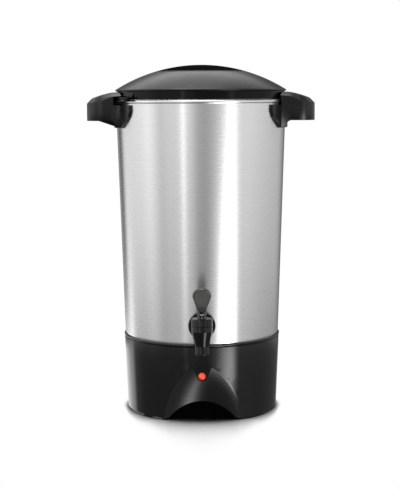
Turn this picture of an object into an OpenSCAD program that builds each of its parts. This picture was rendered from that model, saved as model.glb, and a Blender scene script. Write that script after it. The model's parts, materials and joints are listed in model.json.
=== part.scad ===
// Coffee urn with a twist-lock lid, a percolator, a lever tap and a moulded base.
// Millimetres, +Z up. The origin is on the tank's axis at table level, and the tap faces -Y.

/* [Tank] */
// Height of the rolled rim's top above the table
rim_z = 384; // [350:1:420]
// Outside radius of the rolled rim
rim_r = 105.4; // [105.1:0.1:106.9]
// Height of the rolled rim
rim_bead_h = 5.4; // [4.6:0.1:6]
// Outside radius of the wall just below the rim
wall_top_r = 104.7; // [103.4:0.1:104.9]
// Thickness of the tank's sheet
tank_wall = 0.9; // [0.6:0.1:1.2]
// Height of the tank floor's underside
floor_z = 88.8; // [82.8:0.5:90.8]
// Radius of the corner between floor and wall
floor_corner_r = 9; // [6:0.5:10]

/* [Base] */
// Height of the base's top edge
base_z = 95; // [94.2:0.1:96.8]
// Outside radius of the base at its top
base_top_r = 97; // [96.4:0.1:99]
// Width of the base's lip outside the tank
base_lip = 1.2; // [0.8:0.1:1.6]
// Outside radius of the base at its foot
base_foot_r = 93.3; // [91.3:0.5:96.3]
// Wall thickness of the base moulding
base_wall = 2.6; // [2.2:0.1:3]
// Thickness of the deck that the tank stands on
deck_t = 2.6; // [2:0.1:3.2]
// Inside radius of the deck
deck_hole_r = 64; // [62:1:66]
// Distance of the cup scoop's upright axis in front of the base
scoop_out = 25; // [22:1:30]
// Radius of the scoop's upright curve
scoop_arc_r = 122.6; // [119:0.2:126]
// Offset of that curve's centre from the scoop's axis
scoop_arc_off = 61; // [60:0.5:62]
// Depth of that curve's centre below the table
scoop_arc_drop = 20; // [18:1:24]
// Width of the arch at the base's foot
arch_w = 82.8; // [70:1:88]
// Height of the arch above the table
arch_h = 18.7; // [12:0.1:20]
// How far the feet stand below the base
foot_proud = 1; // [0.6:0.1:1.4]
// Radius of a rubber foot
foot_r = 5; // [4:0.5:6]
// Height of the bottom plate
plate_z = 24; // [22:1:30]
// Thickness of the bottom plate
plate_t = 1.2; // [0.8:0.1:1.6]

/* [Pilot light] */
// Height of the light's centre
lamp_z = 56.7; // [54:0.1:58]
// Radius of the lens
lens_r = 4.8; // [4.2:0.1:5]
// Width of the bezel's ring
bezel_w = 1; // [0.8:0.1:1.2]
// Width of the tongue's edge round the bezel
tongue_margin = 0.5; // [0.3:0.1:1.2]
// Angle of the tongue's sides from upright
tongue_angle = 24; // [15:0.5:26]

/* [Lid] */
// Radius of the dome's edge
dome_r = 105.4; // [104.9:0.1:105.5]
// Height of the dome above its edge
dome_rise = 30.5; // [26:0.5:36]
// Wall thickness of the dome
dome_wall = 2.6; // [2:0.1:3.2]
// Height of the dome's edge above the rim
band_h = 12; // [10:0.1:14]
// Outside radius of the band
band_r = 103.5; // [103.2:0.1:103.7]
// Radius of the finger recess
grip_r = 58; // [50:0.1:61]
// Width of the grip bar
grip_w = 26; // [20:1:32]
// Depth of the recess below the rim of its opening
grip_depth = 12; // [8:0.5:14]
// Wall thickness of the grip moulding
grip_wall = 2.4; // [2:0.1:2.8]
// Reach of the bayonet lugs from the tank's axis
lug_r = 112.4; // [110:0.1:113.4]
// Thickness of a lug
lug_t = 2.4; // [1.8:0.1:2.6]
// Length of a lug, in degrees round the tank
lug_span = 11.5; // [8:0.5:13]
// Radius of the shouldered rivet that the lid turns on
rivet_r = 3; // [2.4:0.1:4]
// Thickness of the liner's sheet
liner_t = 0.6; // [0.5:0.1:0.8]

/* [Handles] */
// Reach of a handle from the tank's axis
handle_x = 139.8; // [137:0.2:149]
// Width of a handle from front to back
handle_w = 92; // [86:1:94]
// Radius of a handle's outer corners
handle_corner_r = 21; // [14:1:26]
// Drop of a handle's lower edge below the rim
handle_drop = 25.2; // [22:0.1:29]
// Height of a handle's crest above the rim
handle_rise = 8.6; // [8.4:0.1:9.4]
// Radius of a handle's crowned top
handle_crown_r = 110; // [100:1:130]
// Wall thickness of a handle
handle_wall = 3; // [2.4:0.1:3.4]
// Thickness of the plate between handle and tank
handle_plate_t = 3.2; // [2.4:0.1:3.4]
// Drop of the plate's lower edge below the rim
handle_plate_drop = 34; // [32:0.5:38]

/* [Tap] */
// Height of the tap's shank
tap_z = 118.6; // [117:0.1:122]
// Distance of the valve's axis from the tank wall
tap_out = 27.6; // [26:0.1:32]
// Outside radius of the valve body
valve_r = 12.2; // [11.6:0.1:13]
// Radius of the spout
spout_r = 8.6; // [8.2:0.1:9.6]
// Drop of the spout's lip below the shank
spout_drop = 30; // [26:0.5:34]
// Radius of the round flange on the tank
tap_flange_r = 16.2; // [14:0.1:18]
// Radius of the threaded shank
shank_r = 8; // [7:0.1:8.4]
// Height of the bonnet's top above the shank
bonnet_top = 12.9; // [12.4:0.1:14]
// Radius of the stem
stem_r = 2.1; // [1.8:0.1:2.3]
// Radius of the lever's pin
pin_r = 1.25; // [1:0.05:1.4]
// Length of the lever from its pin
lever_len = 41.7; // [36:0.1:48]
// Lean of the lever from upright
lever_lean = 35; // [30:1:42]
// Radius of the paddle's round end
paddle_r = 10.7; // [9:0.1:12]
// Width of the lever's neck
neck_w = 10.4; // [9.6:0.1:11]
// Thickness of the paddle
paddle_t = 4; // [3:0.1:5]

/* [Percolator] */
// Inside radius of the heating well
well_r = 25.8; // [24:0.1:27]
// Drop of the well's floor below the tank's floor
well_drop = 12.9; // [11:0.1:14]
// Outside radius of the pump tube
tube_r = 5; // [4:0.1:5.5]
// Wall thickness of the pump tube
tube_wall = 0.8; // [0.5:0.1:1]
// Gap between the pump tube's top and the rim
tube_gap = 12; // [9:0.5:16]
// Outside radius of the basket
basket_r = 72; // [64:1:78]
// Height of the basket
basket_h = 58; // [50:1:66]
// Gap between the basket's top and the rim
basket_gap = 29; // [22:1:34]
// Wall thickness of the basket
basket_wall = 0.8; // [0.6:0.1:1]

/* [Inlet] */
// Height of the inlet's centre
inlet_z = 50; // [46:1:54]
// Width of the inlet's flange
inlet_w = 44; // [42:1:48]
// Height of the inlet's flange
inlet_h = 34; // [32:1:38]
// Distance between the inlet's pins
pin_pitch = 19; // [17:0.5:20]
// Radius of an inlet pin
inlet_pin_r = 2.4; // [2:0.1:2.6]

/* [Hidden] */
$fn = 96;

// Clearances
seat = 0.3;       // between pieces of two moving bodies that rest on each other
fit = 0.05;       // running fit of a pin or stem, on the radius
skin = 0.1;       // between curved faces that are clamped together
over = 1;         // how far a cutting tool runs past what it cuts

black = [0.08, 0.08, 0.08];
steel = [0.78, 0.78, 0.78];
aluminium = [0.7, 0.71, 0.73];
rubber = [0.15, 0.15, 0.16];
silicone = [0.75, 0.72, 0.68];
brass = [0.8, 0.65, 0.3];

// ---------- shared sizes ----------

// Tank
bead_r = rim_bead_h / 2;
bead_x = rim_r - bead_r;
wall_foot_z = floor_z + floor_corner_r;
wall_top_z = rim_z - rim_bead_h;
wall_foot_r = base_top_r - base_lip;
wall_slope = (wall_top_r - wall_foot_r) / (wall_top_z - wall_foot_z);
floor_top = floor_z + tank_wall;
function tank_r(z) = wall_foot_r + (z - wall_foot_z) * wall_slope;

// Base
base_slope = (base_top_r - base_foot_r) / (base_z - foot_proud);
function base_r(z) = base_foot_r + (z - foot_proud) * base_slope;
scoop_y = base_foot_r + scoop_out;
base_max_r = max(base_top_r, base_foot_r);
deck_z = floor_z - deck_t;
post_ring_r = 80;
post_r = 4;
post_angles = [45, 135, 225, 315];
// from a post's axis into the wall, all the way up
rib_reach = base_r(deck_z) - base_wall + 0.3 - post_ring_r;
foot_ring_r = base_foot_r - base_wall - foot_r - 2;
foot_pocket = 1.5;
foot_pad_t = 5;
stud_ring_r = 70;
stud_r = 2;
stud_angles = [90, 210, 330];
stud_len = 8;
plate_screw_r = 1.6;

// Pilot light
bezel_r = lens_r + bezel_w;
tongue_r = bezel_r + tongue_margin;
lamp_tube_r = lens_r - 0.7;
lamp_bore_r = lamp_tube_r + skin;
lamp_y = base_r(lamp_z);
// back of the bezel's disc, clear of the sloped wall
bezel_back = max(base_r(lamp_z + bezel_r), base_r(lamp_z - bezel_r));

// Lid
dome_z = rim_z + band_h;
sphere_r = (dome_r * dome_r + dome_rise * dome_rise) / (2 * dome_rise);
sphere_z = dome_z + dome_rise - sphere_r;
function sphere_top(r, x) = sphere_z + sqrt(r * r - x * x);
lid_seat_z = rim_z + seat;
grip_floor = sphere_top(sphere_r, grip_r) - grip_depth;
grip_outer_r = grip_r - 0.2;
rivet_top_z = grip_floor + 3;
liner_flange_r = bead_x - 1.7;
liner_dish_r = liner_flange_r - 4.1;
liner_drop = 4.2;
liner_z = rim_z - seat - liner_drop;
lug_start = asin(handle_w / 2 / rim_r) + 2;
lug_z = lid_seat_z + seat;
lid_screw_ring_r = grip_r + 7.4;

// Handles
plate_top_z = wall_top_z - 1;
handle_foot_z = rim_z - handle_drop;
handle_plate_foot_z = rim_z - handle_plate_drop;
handle_inner_r = rim_r + 0.8;
crown_in = 14.6;
crown_z = rim_z + handle_rise - sqrt(pow(handle_crown_r, 2) - pow(crown_in, 2));
slot_r = lug_r + 2.5;
lug_turn = 20;
slot_end_y = rim_r * sin(lug_start - lug_turn) - 6;
boss_end = rim_r + 15;
slot_top_z = lug_z + lug_t + 0.6;
handle_screw_angle = 14;
handle_screw_z = rim_z - 18;
handle_screw_r = 2;

// Tap
tap_wall_y = tank_r(tap_z);
valve_y = tap_wall_y + tap_out;
tap_gasket_t = 2.2;
tap_flange_t = 3.8;
flange_y = tap_wall_y + tap_gasket_t;
tap_nut_r = 13;
bore_r = 3.8;
bonnet_z = tap_z + 4.5;
bonnet_top_z = tap_z + bonnet_top;
pin_z = bonnet_top_z + 4.1;
seat_z = tap_z - 10.5;
spout_z = tap_z - spout_drop;
bonnet_wall = 1.6;
bonnet_roof = 3.2;
thread_r = valve_r - bonnet_wall;
chamber_r = thread_r - 2.1;
cheek_gap = 2.4;
eye_w = cheek_gap - 0.25;
spring_foot_z = seat_z + 7.2;
spring_top_z = bonnet_top_z - bonnet_roof;

// Percolator
well_wall = 1.2;
well_floor = floor_top - well_drop;
gasket_t = 1.2;
foot_bell_r = well_r - 1.5;
foot_z = well_floor + seat;
foot_wall = 0.9;
foot_shelf_z = foot_z + 1;
washer_r = tube_r + 3.5;
washer_t = 0.8;
tube_foot_z = foot_z + 5.2;
tube_top_z = rim_z - tube_gap;
basket_z = rim_z - basket_gap - basket_h;
basket_top_z = rim_z - basket_gap;
stop_r = tube_r + 3;
sleeve_r = tube_r + 0.5;

// Inlet
inlet_face_y = sqrt(pow(base_r(inlet_z - inlet_h / 2), 2) - pow(inlet_w / 2 + 1, 2));
inlet_back = inlet_face_y - 3;
inlet_t = 2;
inlet_body_w = inlet_w - 12;
inlet_body_h = inlet_h - 12;
inlet_depth = 22;

// ---------- helpers ----------

// Points along an arc, from angle a0 to a1
function arc(cx, cy, r, a0, a1, n = 10) =
    [for (i = [0:n]) let (a = a0 + (a1 - a0) * i / n) [cx + r * cos(a), cy + r * sin(a)]];

module ring(r_out, r_in, z0, z1) {
    difference() {
        translate([0, 0, z0]) cylinder(h = z1 - z0, r = r_out);
        translate([0, 0, z0 - over]) cylinder(h = z1 - z0 + 2 * over, r = r_in);
    }
}

module post(x, y, r, z0, z1) {
    translate([x, y, z0]) cylinder(h = z1 - z0, r = r);
}

module around(radius, angles) {
    for (a = angles) rotate([0, 0, a]) translate([radius, 0, 0]) children();
}

// Cylinder along Y, from y0 to y1
module rod_y(r, y0, y1, z, x = 0, sides = 0) {
    translate([x, y0, z]) rotate([-90, 0, 0])
        cylinder(h = y1 - y0, r = r, $fn = sides > 0 ? sides : $fn);
}

// Box from low corner to high corner
module block(low, high) {
    translate(low) cube(high - low);
}

// Smooth path through hand-set points
function spline(p, i, t) =
    let (a = p[max(i - 1, 0)], b = p[i], c = p[i + 1], d = p[min(i + 2, len(p) - 1)])
    0.5 * (2 * b + (c - a) * t + (2 * a - 5 * b + 4 * c - d) * t * t
        + (3 * b - a - 3 * c + d) * t * t * t);
function path(p, steps) =
    concat([for (i = [0:len(p) - 2]) for (s = [0:steps - 1]) spline(p, i, s / steps)],
        [p[len(p) - 1]]);
function unit(v) = v / norm(v);
function along(q, i) = unit(q[min(i + 1, len(q) - 1)] - q[max(i - 1, 0)]);

// Round tube along a path, with rings square to it. side is never parallel to the path
module sweep(q, r, side, sides = 8) {
    rings = [for (i = [0:len(q) - 1])
        let (t = along(q, i), u = unit(cross(t, side)), v = cross(t, u))
        [for (k = [0:sides - 1]) q[i] + r * (cos(360 * k / sides) * u + sin(360 * k / sides) * v)]];
    n = len(q);
    polyhedron(points = [for (g = rings) for (p = g) p],
        faces = concat(
            [[for (k = [0:sides - 1]) k]],
            [for (i = [0:n - 2]) for (k = [0:sides - 1])
                [i * sides + k, (i + 1) * sides + k,
                    (i + 1) * sides + (k + 1) % sides, i * sides + (k + 1) % sides]],
            [[for (k = [sides - 1:-1:0]) (n - 1) * sides + k]]));
}

// ---------- lid ----------

module dome_ball(r) {
    translate([0, 0, sphere_z]) sphere(r = r, $fn = 180);
}

module lid_dome() color(black) {
    lip_z = dome_z - 1.6;
    difference() {
        intersection() {
            dome_ball(sphere_r);
            translate([0, 0, lip_z]) cylinder(h = band_h + dome_rise, r = dome_r);
        }
        dome_ball(sphere_r - dome_wall);
        post(0, 0, grip_r, lip_z, dome_z + dome_rise + over);
    }
    // screw bosses, from the grip's ears up to the dome
    difference() {
        intersection() {
            around(lid_screw_ring_r, post_angles) post(0, 0, 4, grip_floor, dome_z + dome_rise);
            dome_ball(sphere_r - dome_wall / 2);
        }
        around(lid_screw_ring_r, post_angles) post(0, 0, 1.3, grip_floor - over, grip_floor + 6);
    }
}

module lid_grip() color(black) {
    ear_z = grip_floor - grip_wall;
    difference() {
        union() {
            // bowl
            rotate_extrude() polygon([[0, ear_z], [grip_outer_r - 3, ear_z],
                [grip_outer_r, grip_floor + grip_depth - 1],
                [grip_outer_r, sphere_top(sphere_r, grip_outer_r)],
                [grip_outer_r - grip_wall, sphere_top(sphere_r, grip_outer_r - grip_wall)],
                [grip_outer_r - 3 - grip_wall, grip_floor], [0, grip_floor]]);
            // grip bar, flush with the dome
            intersection() {
                dome_ball(sphere_r);
                post(0, 0, grip_outer_r, ear_z, dome_z + dome_rise + over);
                block([-grip_r, -grip_w / 2, ear_z], [grip_r, grip_w / 2, dome_z + dome_rise + over]);
            }
            // ears for the screws
            around(lid_screw_ring_r - 4, post_angles)
                block([-8, -4, ear_z], [8, 4, grip_floor - 0.05]);
            post(0, 0, rivet_r + 3, liner_z + liner_t + seat, grip_floor);
        }
        // hollow of the bar, open below, round the centre boss
        intersection() {
            dome_ball(sphere_r - grip_wall);
            block([-grip_outer_r + 3 * grip_wall, -grip_w / 2 + grip_wall, ear_z - over],
                [grip_outer_r - 3 * grip_wall, grip_w / 2 - grip_wall, dome_z + dome_rise]);
            ring(grip_r, rivet_r + 3, ear_z - over, dome_z + dome_rise);
        }
        post(0, 0, rivet_r + fit, liner_z, rivet_top_z);
        around(lid_screw_ring_r, post_angles) post(0, 0, 1.7, ear_z - over, grip_floor + over);
        // steam holes in the recess floor
        for (side = [-1, 1], x = [-8, 0, 8])
            post(x, side * (grip_w / 2 + 14), 1.5, ear_z - over, grip_floor + over);
    }
}

module lid_band() color(black) {
    band_in_r = liner_flange_r + seat;
    intersection() {
        ring(band_r, band_in_r, lid_seat_z, dome_z + 2);
        dome_ball(sphere_r - dome_wall - skin);
    }
    for (side = [0, 180]) rotate([0, 0, side + lug_start]) rotate_extrude(angle = lug_span)
        polygon([[band_r - 1, lug_z], [lug_r, lug_z], [lug_r, lug_z + lug_t],
            [dome_r - 0.3, lug_z + lug_t], [dome_r - 0.3, lug_z + lug_t + 2],
            [band_r, lug_z + lug_t + 5], [band_r - 1, lug_z + lug_t + 5]]);
}

module lid_liner() color(steel) {
    rotate_extrude() polygon([[rivet_r + fit, liner_z], [liner_dish_r, liner_z],
        [liner_dish_r, rim_z - seat], [liner_flange_r, rim_z - seat],
        [liner_flange_r, rim_z - seat + liner_t], [liner_dish_r - liner_t, rim_z - seat + liner_t],
        [liner_dish_r - liner_t, liner_z + liner_t], [rivet_r + fit, liner_z + liner_t]]);
}

module lid_rivet() color(steel) {
    post(0, 0, rivet_r, liner_z - seat, rivet_top_z);
    post(0, 0, rivet_r + 3, liner_z - seat - 1.2, liner_z - seat);
}

module lid_screws() color(steel) {
    head_z = grip_floor - grip_wall;
    around(lid_screw_ring_r, post_angles) {
        post(0, 0, 1.25, head_z - 1, grip_floor + 5);
        post(0, 0, 3, head_z - 1.8, head_z);
    }
}

// ---------- percolator ----------

module pump_tube() color(aluminium) {
    difference() {
        union() {
            post(0, 0, tube_r, tube_foot_z, tube_top_z);
            translate([0, 0, basket_z - seat - 3]) cylinder(h = 3, r1 = tube_r, r2 = stop_r);
        }
        post(0, 0, tube_r - tube_wall, tube_foot_z - over, tube_top_z + over);
    }
}

module pump_foot() color(aluminium) {
    neck_z = foot_z + 15;
    shelf_top = foot_shelf_z + foot_wall;
    difference() {
        union() {
            // bell and neck
            rotate_extrude() polygon([[foot_bell_r, foot_z], [foot_bell_r, shelf_top],
                [tube_r + 2, neck_z - 2], [tube_r + 1, neck_z], [tube_r + fit, neck_z],
                [tube_r + fit, neck_z - 3], [foot_bell_r - foot_wall, shelf_top],
                [foot_bell_r - foot_wall, foot_z]]);
            // shelf with the valve hole
            ring(foot_bell_r - foot_wall / 2, 5, foot_shelf_z, shelf_top);
            // three webs that guide the washer and carry the tube's end
            for (a = [0, 120, 240]) rotate([0, 0, a])
                block([tube_r + fit, -1, foot_shelf_z], [foot_bell_r - 10, 1, neck_z - 8]);
        }
        // inflow notches round the lower edge
        for (a = [0:60:300]) rotate([0, 0, a])
            block([foot_bell_r - 4, -3, foot_z - over], [foot_bell_r + over, 3, foot_z + 0.9]);
        // room for the washer
        post(0, 0, washer_r + 0.6, shelf_top, tube_foot_z);
    }
}

module pump_washer() color(steel) {
    z = foot_shelf_z + foot_wall + 0.2;
    post(0, 0, washer_r, z, z + washer_t);
}

module basket() color(aluminium) {
    difference() {
        rotate_extrude() polygon([[sleeve_r, basket_z], [basket_r - 6, basket_z],
            [basket_r, basket_z + 6], [basket_r, basket_top_z], [basket_r - basket_wall, basket_top_z],
            [basket_r - basket_wall, basket_z + 6.4], [basket_r - 6.4, basket_z + basket_wall],
            [sleeve_r + basket_wall, basket_z + basket_wall], [sleeve_r + basket_wall, basket_top_z - 8],
            [sleeve_r, basket_top_z - 8]]);
        for (i = [0:3]) around(18 + 13 * i, [for (k = [0:11 + 5 * i]) k * 360 / (12 + 5 * i)])
            post(0, 0, 1, basket_z - over, basket_z + over + basket_wall);
    }
}

module basket_lid() color(aluminium) {
    lid_in_r = basket_r - basket_wall - 1;
    dish_z = basket_top_z - 4;
    difference() {
        rotate_extrude() polygon([[sleeve_r, dish_z], [lid_in_r, dish_z], [lid_in_r, basket_top_z + seat],
            [basket_r + 1, basket_top_z + seat], [basket_r + 1, basket_top_z + seat + basket_wall],
            [lid_in_r - basket_wall, basket_top_z + seat + basket_wall],
            [lid_in_r - basket_wall, dish_z + basket_wall], [sleeve_r, dish_z + basket_wall]]);
        for (i = [0:2]) around(20 + 17 * i, [for (k = [0:7 + 4 * i]) k * 360 / (8 + 4 * i)])
            post(0, 0, 1.3, dish_z - over, dish_z + over + basket_wall);
    }
}

// ---------- tank and heating ----------

// Solid that fills the tank's outside, grown by gap
module tank_skin(gap) {
    rotate_extrude($fn = 360) polygon([[0, wall_foot_z], [wall_foot_r + gap, wall_foot_z],
        [wall_top_r + gap, wall_top_z], [0, wall_top_z]]);
}

// Solid that fills the tank's inside, shrunk by gap
module tank_hollow(gap) {
    inset = tank_wall + gap;
    rotate_extrude($fn = 360) polygon([[0, wall_foot_z], [wall_foot_r - inset, wall_foot_z],
        [wall_top_r - inset, wall_top_z], [0, wall_top_z]]);
}

module at_handle_screws() {
    for (side = [0, 180], a = [-1, 1]) rotate([0, 0, side + a * handle_screw_angle])
        translate([0, 0, handle_screw_z]) rotate([0, 90, 0]) children();
}

module tank() color(steel) {
    corner_x = wall_foot_r - floor_corner_r;
    difference() {
        union() {
            rotate_extrude() polygon(concat(
                [[well_r + well_wall + 0.6, floor_z]],
                arc(corner_x, wall_foot_z, floor_corner_r, -90, 0),
                [[wall_top_r, wall_top_z], [wall_top_r, rim_z - bead_r],
                    [wall_top_r - tank_wall, rim_z - bead_r], [wall_top_r - tank_wall, wall_top_z]],
                arc(corner_x, wall_foot_z, floor_corner_r - tank_wall, 0, -90),
                [[well_r + well_wall + 0.6, floor_top]]));
            rotate_extrude() translate([bead_x, rim_z - bead_r]) circle(r = bead_r, $fn = 48);
        }
        rod_y(shank_r + 0.2, -tap_wall_y - over, -tap_wall_y + 3, tap_z);
        at_handle_screws() post(0, 0, handle_screw_r + 0.3, rim_r - 12, rim_r + over);
    }
}

module heating_well() color(steel) {
    flange_z = floor_top + gasket_t;
    rotate_extrude() polygon([[0, well_floor - well_wall], [well_r + well_wall, well_floor - well_wall],
        [well_r + well_wall, flange_z], [well_r + 8, flange_z], [well_r + 8, flange_z + well_wall],
        [well_r, flange_z + well_wall], [well_r, well_floor], [0, well_floor]]);
}

module well_gasket() color(silicone) {
    ring(well_r + 7, well_r + well_wall + 0.6, floor_top, floor_top + gasket_t);
}

module well_ring() color(aluminium) {
    ring(well_r + 10, well_r + well_wall + fit, floor_z - 4, floor_z);
}

heater_z = well_floor - well_wall;
element_r = 3.2;
element_z = heater_z - 5 - element_r + 1;
bracket_z = element_z - element_r - skin;
bracket_t = 1.6;
bracket_half_l = well_r + well_wall + 3;
bracket_half_w = 6;

module main_heater() color(aluminium) {
    post(0, 0, well_r - 2, heater_z - 5, heater_z);
    post(0, 0, 2.5, bracket_z - 9, heater_z - 4);
    rotate_extrude() translate([17, element_z]) circle(r = element_r, $fn = 48);
    // terminal pins
    for (x = [-5, 5]) post(x, 17, 1.5, bracket_z - 9, element_z);
}

module keep_warm_heater() color(aluminium) {
    ring(well_r + well_wall + 2.6, well_r + well_wall + fit, heater_z + 0.6, floor_z - 5);
    for (x = [-6, 6]) block([x - 3, -well_r - well_wall - 9, heater_z + 3], [x + 3, -well_r - 3, heater_z + 3.8]);
}

module heater_bracket() color(steel) {
    difference() {
        block([-bracket_half_l, -bracket_half_w, bracket_z - bracket_t], [bracket_half_l, bracket_half_w, bracket_z]);
        post(0, 0, 2.8, bracket_z - bracket_t - over, bracket_z + over);
    }
}

module heater_nut() color(steel) {
    difference() {
        translate([0, 0, bracket_z - bracket_t - 4]) cylinder(h = 4, r = 5, $fn = 6);
        post(0, 0, 2.5 + fit, bracket_z - bracket_t - 4 - over, bracket_z);
    }
}

module thermostat() color(aluminium) {
    top = bracket_z - bracket_t;
    post(20, 0, 8, top - 3, top);
    post(20, 0, 6.5, top - 7, top - 3);
    for (y = [-4, 4]) block([17.5, y - 0.4, top - 11], [22.5, y + 0.4, top - 7]);
}

fuse_y = well_r + well_wall + 6.5;
fuse_z = heater_z + 5;

module thermal_fuse() color(aluminium) {
    translate([-6, fuse_y, fuse_z]) rotate([0, 90, 0]) cylinder(h = 12, r = 2);
    translate([-11, fuse_y, fuse_z]) rotate([0, 90, 0]) cylinder(h = 22, r = 0.6);
}

module fuse_clip() color(steel) {
    difference() {
        union() {
            translate([-3, fuse_y, fuse_z]) rotate([0, 90, 0]) cylinder(h = 6, r = 2.9);
            block([-3, well_r + well_wall + 2.7, fuse_z - 1], [3, fuse_y, fuse_z + 1]);
        }
        translate([-4, fuse_y, fuse_z]) rotate([0, 90, 0]) cylinder(h = 8, r = 2 + fit);
        ring(well_r + well_wall + 2.6 + skin, 1, fuse_z - 5, fuse_z + 5);
    }
}

shield_r = deck_hole_r - 5.2;
shield_z = bracket_z - 16;
shield_t = 0.8;

module heat_shield() color(aluminium) {
    difference() {
        rotate_extrude() polygon([[0, shield_z], [shield_r, shield_z], [shield_r, deck_z - shield_t],
            [stud_ring_r + 5, deck_z - shield_t], [stud_ring_r + 5, deck_z], [shield_r - shield_t, deck_z],
            [shield_r - shield_t, shield_z + shield_t], [0, shield_z + shield_t]]);
        around(stud_ring_r, stud_angles) post(0, 0, stud_r + 0.3, deck_z - over - shield_t, deck_z + over);
        // passages for the leads
        for (y = [-40, 40]) post(0, y, 6, shield_z - over, shield_z + over + shield_t);
    }
}

module tank_studs() color(steel) {
    around(stud_ring_r, stud_angles) post(0, 0, stud_r, floor_z - stud_len, floor_z);
}

module tank_nuts() color(steel) {
    nut_top = deck_z - shield_t;
    around(stud_ring_r, stud_angles) difference() {
        translate([0, 0, nut_top - 3.2]) cylinder(h = 3.2, r = 4, $fn = 6);
        post(0, 0, stud_r + fit, nut_top - 3.2 - over, nut_top + over);
    }
}

// ---------- base ----------

// Upright curve of the cup scoop, from below the table up to near its axis. Each point
// holds the distance from the scoop's axis and the height
function scoop_curve(grow) =
    let (r = scoop_arc_r + grow, a0 = asin((scoop_arc_drop - 5) / r), a1 = acos((scoop_arc_off + 12) / r))
    arc(-scoop_arc_off, -scoop_arc_drop, r, a0, a1, 16);
function reversed(p) = [for (i = [len(p) - 1:-1:0]) p[i]];

module about_scoop() {
    translate([0, -scoop_y, 0]) rotate_extrude() children();
}

// Solid that fills the scoop
module scoop(grow) {
    curve = scoop_curve(grow);
    about_scoop() polygon(concat([[0, curve[0][1]]], curve, [[0, curve[len(curve) - 1][1]]]));
}

// Wall of the scoop
module scoop_wall() {
    about_scoop() polygon(concat(scoop_curve(base_wall), reversed(scoop_curve(0))));
}

// Tongue that carries the pilot light: a wedge with a round tip, seen from the front
module tongue() {
    top = 30;
    half = tongue_r / cos(tongue_angle) + top * tan(tongue_angle);
    translate([0, -base_top_r + 20, lamp_z]) rotate([90, 0, 0]) linear_extrude(22)
        polygon(concat(arc(0, 0, tongue_r, 180 + tongue_angle, 360 - tongue_angle, 12),
            [[half, top], [-half, top]]));
}

module base_outside() {
    rotate_extrude() polygon([[0, foot_proud], [base_foot_r, foot_proud], [base_r(deck_z), deck_z], [0, deck_z]]);
}

module base_shell() {
    corner_x = wall_foot_r - floor_corner_r;
    seat_r = floor_corner_r + seat;
    lip_a = -asin((wall_foot_z - base_z) / seat_r);
    bead = 1.3;
    rotate_extrude() polygon(concat(
        [[base_foot_r - 0.8, foot_proud], [base_foot_r, foot_proud + 0.8], [base_r(base_z - 4), base_z - 4],
            [base_r(base_z - 3.4) - 0.7, base_z - 3.4]],
        arc(base_top_r - bead + 0.3, base_z - bead - 0.3, bead, -60, 70, 6),
        arc(corner_x, wall_foot_z, seat_r, lip_a, -90),
        [[corner_x, floor_z], [deck_hole_r, floor_z], [deck_hole_r, deck_z], [base_r(deck_z) - base_wall, deck_z],
            [base_foot_r - base_wall, foot_proud]]));
}

// Pads, posts and ribs inside the base's wall
module base_inside() {
    intersection() {
        base_outside();
        union() {
            // pad behind the inlet
            block([-inlet_w / 2 - 3, inlet_back, inlet_z - inlet_h / 2 - 3],
                [inlet_w / 2 + 3, base_max_r, inlet_z + inlet_h / 2 + 3]);
            // seats of the feet
            around(foot_ring_r, post_angles) block([-foot_r - 2, -foot_r - 2, foot_proud],
                [foot_r + 6, foot_r + 2, foot_proud + foot_pad_t]);
        }
    }
    around(post_ring_r, post_angles) {
        post(0, 0, post_r, plate_z + plate_t, deck_z);
        block([0, -1, plate_z + 8], [rib_reach, 1, deck_z]);
    }
}

module base_skirt() color(black) {
    arch_r = (arch_w * arch_w / 4 + arch_h * arch_h) / (2 * arch_h);
    difference() {
        union() {
            difference() {
                union() {
                    base_shell();
                    base_inside();
                }
                scoop(base_wall);
            }
            intersection() {
                base_outside();
                scoop_wall();
            }
            intersection() {
                intersection() {
                    base_outside();
                    scoop(base_wall);
                }
                tongue();
            }
        }
        // arch at the foot
        rod_y(arch_r, -base_foot_r - 10, -base_foot_r + 70, arch_h - arch_r);
        // light
        rod_y(lamp_bore_r, -base_foot_r - 10, -base_foot_r + 30, lamp_z);
        // inlet's recess and window
        block([-inlet_w / 2 - 1, inlet_face_y, inlet_z - inlet_h / 2 - 1],
            [inlet_w / 2 + 1, base_max_r + 5, inlet_z + inlet_h / 2 + 1]);
        block([-inlet_body_w / 2 - 0.5, inlet_back - over, inlet_z - inlet_body_h / 2 - 0.5],
            [inlet_body_w / 2 + 0.5, base_max_r, inlet_z + inlet_body_h / 2 + 0.5]);
        for (x = [-1, 1]) rod_y(1.3, inlet_back - over, inlet_face_y + over, inlet_z, x * (inlet_body_w / 2 + 3));
        // screws, studs and feet
        around(post_ring_r, post_angles) post(0, 0, plate_screw_r - 0.3, plate_z + plate_t - over, plate_z + plate_t + 12);
        around(stud_ring_r, stud_angles) post(0, 0, stud_r + 0.3, deck_z - over, floor_z + over);
        around(foot_ring_r, post_angles) post(0, 0, foot_r + skin, foot_proud - over, foot_proud + foot_pocket);
    }
}

module bottom_plate() color(steel) {
    plate_r = base_r(plate_z) - base_wall - 0.6;
    difference() {
        post(0, 0, plate_r, plate_z, plate_z + plate_t);
        scoop(base_wall + 0.6);
        around(post_ring_r, post_angles) post(0, 0, plate_screw_r + 0.3, plate_z - over, plate_z + plate_t + over);
        // vents
        for (a = [0:30:330]) rotate([0, 0, a + 15])
            block([18, -1.5, plate_z - over], [44, 1.5, plate_z + plate_t + over]);
    }
}

module bottom_screws() color(steel) {
    around(post_ring_r, post_angles) {
        post(0, 0, 1.25, plate_z - 1, plate_z + plate_t + 9);
        post(0, 0, 3.2, plate_z - 2, plate_z);
    }
}

module feet() color(rubber) {
    around(foot_ring_r, post_angles) post(0, 0, foot_r, 0, foot_proud + foot_pocket);
}

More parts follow.
